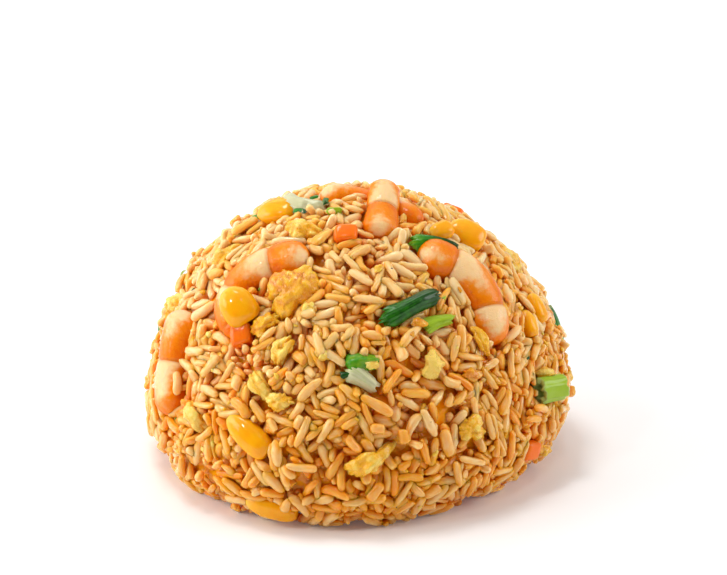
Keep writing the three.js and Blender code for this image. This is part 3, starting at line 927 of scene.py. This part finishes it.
def grainMesh(pick, sides, rings, rng):
    # real grains for the picked ones: each with its own outline, section, bend and ends
    count = len(pick)
    along, angle, triangles = ballGrid(sides, rings)
    s = -np.cos(math.pi * along)[None, :]
    angle = angle[None, :]

    def each(low, high):
        return rng.uniform(low, high, count)[:, None]

    length, width = packed["length"][pick][:, None], packed["width"][pick][:, None]
    broken = packed["broken"][pick][:, None]
    shape = grainShape
    blunt = each(*shape["blunt"])
    profile = np.clip(1 - np.abs(s) ** blunt, 0, 1) ** each(*shape["full"])
    profile = profile * (1 + each(*shape["taper"]) * s + each(*shape["waist"]) * s * s)
    section = 1
    for times, most in shape["facets"]:
        section = section + each(0.0, most) * np.cos(times * angle + each(0, 6))
    times, most, turn = shape["twisted"]
    section = section + each(0.0, most) * np.cos(times * angle + each(0, 6) + each(-turn, turn) * s)
    most, times = shape["waves"]
    wave = each(0.0, most) * np.sin(each(*times) * s + each(0, 6))
    section = section + wave * np.cos(angle + each(0, 6))
    deepSplit, shallow = shape["splits"]
    split = np.where(each(0, 1) < shape["splitShare"], each(*deepSplit), each(*shallow))
    groove = np.exp(-(((angle - each(1, 5)) / shape["grooveWidth"]) ** 2)) * split
    radius = width / 2 * profile * (section - groove)
    x = s * length / 2
    y = radius * np.cos(angle)
    z = radius * np.sin(angle) * grains["flat"]
    # broken grains end in a worn slanting face; a few whole ones have a nibbled germ end
    cut = length / 2 * np.where(broken, each(*shape["cutBroken"]), each(*shape["cutWhole"]))
    face = cut + each(*shape["slant"]) * y + each(*shape["slant"]) * z
    x = face - shape["worn"] * np.logaddexp(0, (face - x) / shape["worn"])
    sway = (2 * x / length) ** 2 - 0.3
    y = y + each(-1, 1) ** 3 * shape["bend"] * sway
    z = z + each(*shape["sideBend"]) * sway
    axis = packed["axis"][pick]
    centre = packed["centre"][pick]
    _, out = aboveDome(centre)
    # the flatter side tends to face out, as a bowl presses it
    roll = rng.normal(0, shape["roll"], count)[:, None]
    across = unit(np.cross(out + 1e-3, axis))
    thick = np.cross(axis, across)
    b = across * np.cos(roll) + thick * np.sin(roll)
    c = np.cross(axis, b)
    points = centre[:, None, :] + x[:, :, None] * axis[:, None, :]
    points = points + y[:, :, None] * b[:, None, :] + z[:, :, None] * c[:, None, :]
    per = points.shape[1]
    points = points.reshape(-1, 3)
    dent = sum(depth * lumps(points, size, seed) for depth, size, seed in shape["dents"])
    middle = np.repeat(centre, per, 0)
    points += unit(points - middle) * dent[:, None]
    points[:, 2] = np.maximum(points[:, 2], 0.02)
    faces = (triangles[None, :, ::-1] + per * np.arange(count)[:, None, None]).reshape(-1, 3)
    above, _ = aboveDome(points)
    facing = (unit(points - middle + 1e-6) * np.repeat(out, per, 0)).sum(1)
    marks = {
        "along": np.broadcast_to(s, (count, per)).ravel(),
        "tone": np.repeat(rng.random(count), per),
        # how deep under the dome, for the painted shade of deep grains
        "deep": np.clip(-above / 6, 0, 1),
        # how high a grain lies; higher grains are painted paler, which is painted light from above
        "height": np.clip((points[:, 2] - 22) / 40, 0, 1),
        "crest": np.clip(facing, 0, 1),
        "across": np.broadcast_to(np.cos(angle) * profile, (count, per)).ravel(),
        "thick": np.broadcast_to(np.sin(angle) * profile, (count, per)).ravel(),
        "owner": np.repeat(pick, per),
    }
    return points, faces, marks


# looks
riceColours = {  # dry and pale, amber in sauce, and the painted shade of a grain deep in a gap
    "rice_long": ((0.86, 0.57, 0.240), (0.87, 0.35, 0.010), (0.88, 0.18, 0.001)),
    "rice_plump": ((0.86, 0.60, 0.290), (0.87, 0.38, 0.018), (0.88, 0.19, 0.001)),
    "rice_broken": ((0.86, 0.55, 0.210), (0.87, 0.33, 0.008), (0.88, 0.17, 0.001)),
    "rice_golden": ((0.86, 0.46, 0.080), (0.87, 0.28, 0.003), (0.88, 0.16, 0.001)),
}


def riceLook(name):
    pale, amber, gapShade = riceColours[name]
    look = Look(
        name,
        SubsurfaceWeight=1.0,
        SubsurfaceRadius=(1.0, 0.97, 0.9),
        SubsurfaceScale=0.0016,
        SpecularIORLevel=0.25,
        CoatWeight=0.45,
        CoatRoughness=0.04,
        IOR=1.42,
    )
    tone, deep, seam = look.mark("tone"), look.mark("deep"), look.mark("seam")
    along, crest = look.mark("along"), look.mark("crest")
    patches = look.noise(14, 2)
    cloudy = look.noise(1.3, 3, 0.6)
    # streaks along every grain, each grain with its own
    axes = {0: along + tone * 40, 1: look.mark("across"), 2: look.mark("thick")}
    place = look.node("CombineXYZ", None, axes)
    streak = look.node("TexNoise", None, {"Vector": place, "Scale": 1.8, "Detail": 2.0}, "Fac")
    height = look.mark("height")
    # painted shade together with sauce film: grains turn amber where they touch other grains and on
    # their sides that face in; tone and patches are the uneven soaking itself
    filmAndShade = seam * 0.6 + (1 - crest) * 0.3
    # the height term paints higher grains paler, as painted light from above
    soakedAndShaded = tone ** 1.5 * 0.38 + filmAndShade + (patches - 0.5) * 1.4 + (cloudy - 0.5) * 0.4 - height * 0.5
    soakedAndShaded = (soakedAndShaded + (streak - 0.5) * 0.9 + 0.17).clamped()
    colour = look.mix(soakedAndShaded, pale, amber)
    # painted shade: grains deeper under the dome, most of all deep ones near other grains, mix
    # towards the darkest colour
    sunkShade = (deep * 1.5 + (cloudy - 0.5) * 0.3 + seam * deep * 0.5 - 0.16).clamped()
    colour = look.mix(sunkShade, colour, gapShade)
    fine = look.noise(0.5, 2, 0.6)
    look.wear(BaseColor=colour, Roughness=0.16 + cloudy * 0.16 + seam * 0.1)
    look.relief(fine * 0.3 + cloudy * 0.8 + streak * 0.5, 0.12, 0.7)
    return look.material


flesh = {
    "pale": (0.90, 0.60, 0.29),
    "orange": (0.88, 0.26, 0.001),
    "strong": (0.78, 0.14, 0.001),
    "edge": (0.62, 0.17, 0.001),
}


def shrimpLook():
    look = Look(
        "shrimp_flesh",
        SubsurfaceWeight=0.35,
        SubsurfaceRadius=(1.0, 0.42, 0.1),
        SubsurfaceScale=0.0025,
        SpecularIORLevel=0.1,
        CoatWeight=0.3,
        CoatRoughness=0.08,
        IOR=1.42,
    )
    orange, belly, edge = look.mark("orange"), look.mark("belly"), look.mark("edge")
    mottle = look.noise(0.9, 3, 0.65)
    speck = look.noise(0.3, 2)
    wash = look.noise(4.5, 2)
    tint = (orange + (mottle - 0.5) * 0.45 + (wash - 0.5) * 0.4 - belly * 0.1).clamped()
    colour = look.mix(tint.between(0.0, 0.6), flesh["pale"], flesh["orange"])
    strong = (tint ** 2.4 * (0.3 + speck * 0.9)).clamped()
    colour = look.mix(strong, colour, flesh["strong"])
    colour = look.mix((edge * 0.6).clamped(), colour, flesh["edge"])
    look.wear(BaseColor=colour, Roughness=0.14 + mottle * 0.2)
    look.relief(mottle + speck * 0.5, 0.22, 0.8)
    return look.material


kernelSkin = {
    "light": (0.95, 0.44, 0.002),
    "warm": (0.94, 0.32, 0.001),
    "root": (0.95, 0.66, 0.10),
    "crease": (0.90, 0.33, 0.003),
}


def cornLook():
    look = Look(
        "corn_skin",
        SubsurfaceWeight=0.4,
        SubsurfaceRadius=(1.0, 0.5, 0.03),
        SubsurfaceScale=0.0025,
        SpecularIORLevel=0.05,
        CoatWeight=0.6,
        CoatRoughness=0.06,
        IOR=1.45,
    )
    root, crease = look.mark("root"), look.mark("crease")
    cloud = look.noise(3.0, 2)
    fine = look.noise(0.5, 2)
    colour = look.mix((cloud * 1.4 - 0.35).clamped(), kernelSkin["light"], kernelSkin["warm"])
    colour = look.mix((root ** 6.0 * 0.5).clamped(), colour, kernelSkin["root"])
    colour = look.mix((crease * 0.35).clamped(), colour, kernelSkin["crease"])
    look.wear(BaseColor=colour, Roughness=0.2 + fine * 0.1)
    look.relief(fine + cloud, 0.06, 0.5)
    return look.material


carrotFlesh = {
    "light": (0.95, 0.20, 0.004),
    "deep": (0.92, 0.13, 0.003),
    "corner": (0.96, 0.28, 0.008),
}


def carrotLook():
    look = Look(
        "carrot_flesh",
        SubsurfaceWeight=0.35,
        SubsurfaceRadius=(1.0, 0.3, 0.03),
        SubsurfaceScale=0.002,
        SpecularIORLevel=0.05,
        CoatWeight=0.5,
        CoatRoughness=0.1,
    )
    corner = look.mark("corner")
    cloud = look.noise(2.4, 2)
    fine = look.noise(0.4, 3)
    colour = look.mix((cloud * 1.3 - 0.2).clamped(), carrotFlesh["light"], carrotFlesh["deep"])
    colour = look.mix((corner * 0.6).clamped(), colour, carrotFlesh["corner"])
    look.wear(BaseColor=colour, Roughness=0.3 + fine * 0.2)
    look.relief(fine, 0.08, 0.6)
    return look.material


leafSkin = {
    "white": (0.62, 0.60, 0.36),
    "light": (0.32, 0.48, 0.012),
    "dark": (0.03, 0.24, 0.004),
    "darkest": (0.004, 0.055, 0.001),
    "cut": (0.50, 0.60, 0.22),
}


def onionLook():
    look = Look(
        "spring_onion_skin",
        SpecularIORLevel=0.2,
        CoatWeight=0.35,
        CoatRoughness=0.08,
    )
    green, skin, ridge = look.mark("green"), look.mark("skin"), look.mark("ridge")
    streak = look.noise(1.6, 3, 0.6)
    fine = look.noise(0.4, 2)
    shade = (green + (streak - 0.5) * 0.35 + ridge * 0.04).clamped()
    colour = look.mix(shade.between(0.0, 0.35), leafSkin["white"], leafSkin["light"])
    colour = look.mix(shade.between(0.4, 0.72), colour, leafSkin["dark"])
    colour = look.mix(shade.between(0.65, 1.0), colour, leafSkin["darkest"])
    colour = look.mix(((1 - skin) * 0.65).clamped(), colour, leafSkin["cut"])
    look.wear(BaseColor=colour, Roughness=0.28 + fine * 0.14)
    look.relief(ridge * 0.4 + streak, 0.1, 0.5)
    return look.material


eggColours = {
    "pale": (0.95, 0.66, 0.12),
    "yellow": (0.93, 0.46, 0.008),
    "brown": (0.76, 0.24, 0.001),
}


def eggLook():
    look = Look(
        "fried_egg",
        SubsurfaceWeight=0.3,
        SubsurfaceRadius=(1.0, 0.6, 0.12),
        SubsurfaceScale=0.0018,
        SpecularIORLevel=0.3,
        CoatWeight=0.5,
        CoatRoughness=0.08,
    )
    fried, high = look.mark("fried"), look.mark("high")
    cloud = look.noise(2.2, 3, 0.6)
    pores = look.cells(0.9)
    fine = look.noise(0.35, 3, 0.65)
    # how far it was fried, plus painted shade: the egg is made darker in its creases
    doneAndShaded = (fried + (cloud - 0.5) * 0.6 - high * 0.9 - 0.05).clamped()
    colour = look.mix(doneAndShaded.between(0.0, 0.5), eggColours["pale"], eggColours["yellow"])
    colour = look.mix(doneAndShaded.between(0.5, 1.1), colour, eggColours["brown"])
    look.wear(BaseColor=colour, Roughness=0.12 + fine * 0.3)
    look.relief(pores * 0.7 + fine * 0.6 + cloud, 0.4, 0.9)
    return look.material


coreColours = {
    "deep": (0.95, 0.24, 0.001),
    "light": (0.96, 0.38, 0.004),
}


def coreLook():
    look = Look(
        "packed_rice",
        SubsurfaceWeight=0.6,
        SubsurfaceRadius=(1.0, 0.4, 0.08),
        SubsurfaceScale=0.004,
        SpecularIORLevel=0.3,
        Roughness=0.2,
    )
    cloud = look.noise(3.0, 3)
    pips = look.cells(2.6)
    colour = look.mix(cloud, coreColours["deep"], coreColours["light"])
    look.wear(BaseColor=colour)
    look.relief(pips + cloud * 0.4, 0.8, 0.9)
    return look.material


# making the pieces
topLooks = {
    "shrimp": shrimpLook(),
    "corn": cornLook(),
    "carrot": carrotLook(),
    "spring_onion": onionLook(),
    "egg": eggLook(),
}
for slot, made in toppings.items():
    for name, (points, triangles, marks) in made.items():
        makePiece(name + "_real", points, triangles, topLooks[slot], slot, marks, (name,))
print("toppings made")

core = {
    "depth": 2.6,  # under the dome, and height of its underside over the ground
    "base": 2.8,
    "rings": 100,
    "baseRings": 20,
    "sides": 200,
    "lumps": ((0.6, 3.0, 5), (0.4, 1.7, 6)),  # depth, size and seed
}

riceKinds = {
    # sides and rings of the grains at the outside, in the order long, plump, broken, golden
    "grids": {
        "rice_long": (8, 10),
        "rice_plump": (8, 10),
        "rice_broken": (8, 9),
        "rice_golden": (8, 10),
    },
    "innerGrid": (6, 6),
    "plumpFrom": 2.21,
    "goldenShare": 0.24,
    "outerDepth": 3.4,  # grains whose middles are less deep than this have the finer grids
    "shownDepth": 2.4,  # and those deeper in the core than this aren't made
    "shownBase": 0.6,
}


def sortGrains():
    rng = np.random.default_rng(3)
    pull = rng.random(len(packed["length"]))
    plump = packed["width"] > riceKinds["plumpFrom"]
    kind = np.where(packed["broken"], 2, np.where(plump, 1, 0))
    kind[pull < riceKinds["goldenShare"]] = 3
    return kind


grainKind = sortGrains()
grainAbove, _ = aboveDome(packed["centre"])
grainHeight = packed["centre"][:, 2]
outer = (grainAbove > -riceKinds["outerDepth"]) & (grainHeight > 1.0)
shown = grainAbove > -core["depth"] - riceKinds["shownDepth"]
shown = shown | (grainHeight < core["base"] + riceKinds["shownBase"])
total = 0
for number, (name, grid) in enumerate(riceKinds["grids"].items()):
    rng = np.random.default_rng(50 + number)
    parts = []
    for chosen, (sides, rings) in ((outer, grid), (shown & ~outer, riceKinds["innerGrid"])):
        pick = np.nonzero((grainKind == number) & chosen)[0]
        parts.append(grainMesh(pick, sides, rings, rng))
    points, faces, marks = joined(parts)
    owner = marks.pop("owner")
    # nearness to other grains: paints shade, together with sauce, into the gaps between them, and
    # roughens them there
    marks["seam"] = closeness(points, owner, 1.0)
    makePiece(name, points, faces, riceLook(name), "rice", marks, ("rice_heap",))
    total += len(faces)
    print(name, len(faces), "triangles")
print("rice made:", total, "triangles")


def makeCore():
    # rows from the crown down to the foot, then in under the base
    ups = np.radians(np.linspace(90, 3, core["rings"]))
    sides = core["sides"]
    around = np.tile(np.arange(sides) * 2 * math.pi / sides, len(ups))
    up = np.repeat(ups, sides)
    spots = domeSpot(around, up)
    depth = core["depth"] - heapLumps(spots)
    for most, size, seed in core["lumps"]:
        depth = depth + most * lumps(spots, size, seed)
    points = spots - domeNormal(spots) * depth[:, None]
    points[:, 2] = np.maximum(points[:, 2], core["base"] + 0.4 * lumps(spots, 3.0, 8))
    rows = [points]
    lowest = points[-sides:]
    for share in np.linspace(0.95, 0.05, core["baseRings"]):
        ring = lowest.copy()
        ring[:, :2] *= share
        ring[:, 2] = core["base"] + 0.6 * lumps(ring, 3.0, 9)
        rows.append(ring)
    points = np.concatenate(rows)
    count = len(points) // sides
    side = np.arange(sides)
    after = (side + 1) % sides
    triangles = []
    for r in range(count - 1):
        triangles += band(r * sides, (r + 1) * sides, sides)
    top, bottom = len(points), len(points) + 1
    points = np.vstack([points, points[:sides].mean(0), points[-sides:].mean(0)])
    triangles.append(np.stack([np.full(sides, top), side, after], 1))
    last = (count - 1) * sides
    triangles.append(np.stack([last + after, last + side, np.full(sides, bottom)], 1))
    triangles = facingOut(points, np.concatenate(triangles))
    makePiece("rice_core", points, triangles, coreLook(), "rice", {}, ("rice_heap",))


makeCore()
print("core made")


# small things on and between the grains: one joined piece for each kind
herbBits = {
    "rows": (  # place, turned, sizes, green at both ends
        ((-173, 69, 0.9), (51, -14, 15), (4.2, 1.7, -0.5, 30), (0.55, 0.75)),
        ((-108, 77, 0.9), (12, -3, 17), (3.4, 2.2, -0.6, 5), (0.44, 0.4)),
        ((-88, 38.8, 0.3), (14, 2, 3), (6.8, 4.6, -0.5, 10), (0.66, 0.56)),
        ((-92, 36.5, 0.3), (20, 0, 0), (2.8, 1.5, -0.5, 0), (1.0, 0.9)),
        ((170, 44, 1.1), (170, 20, 12), (7.5, 0.8, -0.7, 40), (0.3, 0.34)),
        ((-170, 74.5, 1.0), (60, 0, 10), (3.0, 1.8, -0.5, 10), (0.8, 0.6)),
        ((-128, 80.5, 0.9), (-60, 0, 10), (2.6, 1.7, -0.5, 10), (0.8, 0.9)),
        ((-140, 75.5, 0.9), (10, 0, -10), (3.8, 1.6, -0.5, 12), (0.7, 0.95)),
        ((-150, 80.5, 1.1), (80, 0, 0), (2.0, 1.2, -0.5, 0), (0.8, 0.7)),
        ((-76, 50, 0.4), (60, 0, 0), (2.2, 1.2, -0.5, 5), (0.1, 0.3)),
        ((30, 52, 0.5), (30, 0, 0), (3.4, 1.6, -0.5, 10), (0.5, 0.8)),
        ((76, 24, 0.5), (70, 0, 0), (3.0, 1.6, -0.5, 10), (0.4, 0.6)),
        ((134, 38, 0.5), (-20, 0, 0), (3.6, 1.4, -0.5, 20), (0.7, 0.9)),
        ((104, 68, 0.5), (130, 0, 0), (2.8, 1.5, -0.5, 10), (0.5, 0.45)),
    ),
    "scattered": 16,
    "size": (0.9, 1.9),
    "grid": (14, 18),
}
eggCrumbs = {
    "rows": (  # place, turned, sizes, how fried
        ((-98, 40, 0.6), (4, -2, 4), (3.4, 2.4, 1.8, 3, 10), 0.2),
        ((-85, 38.5, 0.7), (-1, 3, 3), (3.0, 2.3, 1.8, 3, 0), 0.1),
        ((-104, 50, 0.6), (7, -4, 8), (3.2, 2.5, 1.8, 4, 0), 0.15),
        ((-70, 47, 0.6), (-7, 7, 6), (3.4, 2.2, 1.6, 3, 20), 0.8),
        ((4, 26, 0.5), (20, 18, -15), (5.4, 2.8, 2.0, 3, 20), 0.5),
        ((1, 19, 0.4), (35, 14, -19), (4.4, 2.6, 1.8, 3, 10), 0.5),
        ((-57, 35, 0.5), (-13, 12, 3), (4.4, 2.4, 1.8, 3, 20), 0.95),
        ((-24, 8, 0.2), (-12, 20, -5), (4.4, 2.8, 1.8, 4, 20), 0.6),
        ((-80, 60, 0.5), (30, 0, 0), (2.8, 2.0, 1.6, 3, 0), 0.2),
        ((60, 34, 0.5), (60, 0, 0), (4.0, 2.4, 1.8, 3, 20), 0.5),
        ((120, 24, 0.5), (10, 0, 0), (3.6, 2.6, 1.8, 3, 0), 0.3),
    ),
    "scattered": 120,
    "size": (0.9, 2.3),
    "grid": (12, 9),
}
specks = {
    "scattered": 34,
    "size": (0.28, 0.6),
    "grid": (8, 5),
    "black": (0.05, 0.018, 0.004),
    "brown": (0.30, 0.09, 0.01),
}
topmost = {"depth": 1.9, "height": 2.5, "rise": 0.42}  # which grains carry crumbs, and how high


def onGrains(count, rng):
    # places on top of grains that lie at the outside, with a random way round for each
    high = (grainAbove > -topmost["depth"]) & (grainHeight > topmost["height"])
    top = np.nonzero(high)[0]
    pick = rng.choice(top, count, replace=False)
    _, out = aboveDome(packed["centre"][pick])
    spot = packed["centre"][pick] + out * packed["width"][pick][:, None] * topmost["rise"]
    across = unit(np.cross(out, rng.normal(size=(count, 3))))
    return spot, np.stack([across, np.cross(out, across), out], 2)


def strewn(bits, form, sizesFor, seed):
    # the placed ones first, then the scattered crumbs
    rng = np.random.default_rng(seed)
    pieces = []
    for number, (at, turned, sizes, value) in enumerate(bits.get("rows", ())):
        finer = (2 * bits["grid"][0], 2 * bits["grid"][1])
        pieces.append(setDown(form(sizes, value, number, finer), *lieAt(at, turned)))
    spots, frames = onGrains(bits["scattered"], rng)
    for number, (spot, own) in enumerate(zip(spots, frames)):
        size = rng.uniform(*bits["size"])
        sizes, value = sizesFor(size, rng)
        pieces.append(setDown(form(sizes, value, 40 + number, bits["grid"]), own, spot))
    return joined(pieces)


def herbSizes(size, rng):
    green = rng.uniform(0.3, 1.0)
    return (size, size * 0.6, -0.5, 10), (green, green)


def crumbSizes(size, rng):
    sizes = (size, size * rng.uniform(0.5, 0.8), size * rng.uniform(0.4, 0.6), 3, 0)
    return sizes, rng.uniform(0.0, 1.0) ** 0.8 * 1.1


def speckForm(size, value, seed, grid):
    x, y, z, triangles = roundForm(*grid)
    points = np.stack([x, 0.6 * y, 0.5 * z], 1) * size / 2
    return points, triangles, {"tone": np.full(len(x), value)}


def speckSizes(size, rng):
    return size, rng.random()


def speckLook():
    look = Look("burnt_specks", Roughness=0.5, SpecularIORLevel=0.3)
    look.wear(BaseColor=look.mix(look.mark("tone"), specks["black"], specks["brown"]))
    return look.material


for name, bits, form, sizesFor, look, slot in (
    ("herb_bits", herbBits, leafForm, herbSizes, topLooks["spring_onion"], "spring_onion"),
    ("egg_crumbs", eggCrumbs, flakeForm, crumbSizes, topLooks["egg"], "egg"),
    ("burnt_specks", specks, speckForm, speckSizes, speckLook(), "rice"),
):
    points, faces, marks = strewn(bits, form, sizesFor, 70 + len(name))
    makePiece(name, points, faces, look, slot, marks)
    print(name, len(faces), "triangles")


# camera, lights and floor
view = {
    "distance": 432.7924,
    "height": 21.7398,  # degrees above the ground, seen from the middle of the base
    "down": 16.457,
    "right": 0.3155,
    "lens": 85.0,
}


def makeCamera():
    camera = bpy.data.objects.new("camera", bpy.data.cameras.new("camera"))
    bpy.context.scene.collection.objects.link(camera)
    rise = math.radians(view["height"])
    far = view["distance"] * metre
    camera.location = (0, -far * math.cos(rise), far * math.sin(rise))
    camera.rotation_euler = (math.radians(90 - view["down"]), 0, -math.radians(view["right"]))
    camera.data.lens = view["lens"]
    camera.data.sensor_width = 36
    camera.data.clip_start = 0.01
    bpy.context.scene.camera = camera


softboxes = {  # degrees around and up, distance and size in metres, power and colour
    "left": ((200, 24), 0.7, (0.3, 0.3), 1.3, (1.0, 0.99, 0.97)),
    "side": ((172, 24), 0.7, (0.5, 0.5), 1.85, (1.0, 0.99, 0.97)),
    "right": ((-6, 27), 0.7, (0.35, 0.35), 1.65, (1.0, 1.0, 1.0)),
    "behind": ((100, 50), 0.7, (0.5, 0.35), 0.6, (1.0, 1.0, 1.0)),
    "above": ((190, 78), 0.7, (0.2, 0.2), 1.65, (1.0, 1.0, 1.0)),
    "spark": ((226, 44), 0.7, (0.04, 0.04), 0.4, (1.0, 1.0, 1.0)),
    "glint": ((275, 56), 0.7, (0.04, 0.04), 0.25, (1.0, 1.0, 1.0)),
}
surround = {"front": 0.09, "behind": 0.6, "seen": 1.0}  # strengths of the room's light


def makeLights():
    for name, ((around, up), far, size, power, colour) in softboxes.items():
        data = bpy.data.lights.new(name, "AREA")
        data.shape = "RECTANGLE"
        data.size, data.size_y = size
        data.energy = power
        data.color = colour
        lamp = bpy.data.objects.new(name, data)
        bpy.context.scene.collection.objects.link(lamp)
        a, u = math.radians(around), math.radians(up)
        flat = far * math.cos(u)
        lamp.location = (flat * math.cos(a), flat * math.sin(a), far * math.sin(u))
        lamp.rotation_euler = (math.pi / 2 - u, 0, a + math.pi / 2)
        lamp.visible_camera = False
    room = Room("studio")
    direction = room.node("TexCoord", None, None, "Generated")
    towards = room.node("SeparateXYZ", None, {0: direction}, "Y")
    dim, bright, seen = ((surround[key],) * 3 for key in ("front", "behind", "seen"))
    light = room.mix(towards.between(-0.75, 0.05), dim, bright)
    looking = room.node("LightPath", None, None, "Is Camera Ray")
    room.background(room.mix(looking, light, seen))
    bpy.context.scene.world = room.world
    bpy.context.scene.view_settings.view_transform = "Standard"


paper = {
    "half": 3.0,  # metres
    "colour": (0.88, 0.88, 0.88),
    "glow": ((0.06, 0.06, 0.06), (0.7, 0.7, 0.7)),  # near the heap and far from it
    "glowReach": (0.08, 0.7),
}


def makeFloor():
    half = paper["half"]
    corners = [(-half, -half, 0), (half, -half, 0), (half, half, 0), (-half, half, 0)]
    mesh = bpy.data.meshes.new("floor")
    mesh.from_pydata(corners, [], [(0, 1, 2, 3)])
    floor = bpy.data.objects.new("floor", mesh)
    bpy.context.scene.collection.objects.link(floor)
    look = Look("floor_paper", Roughness=0.6, SpecularIORLevel=0.2, EmissionStrength=1.0)
    place = look.node("TexCoord", None, None, "Object")
    away = look.node("VectorMath", {"operation": "LENGTH"}, {0: place}, "Value")
    glow = look.mix(away.between(*paper["glowReach"]), *paper["glow"])
    look.wear(BaseColor=paper["colour"], EmissionColor=glow)
    mesh.materials.append(look.material)


makeCamera()
makeLights()
makeFloor()
print("camera, lights and floor made")
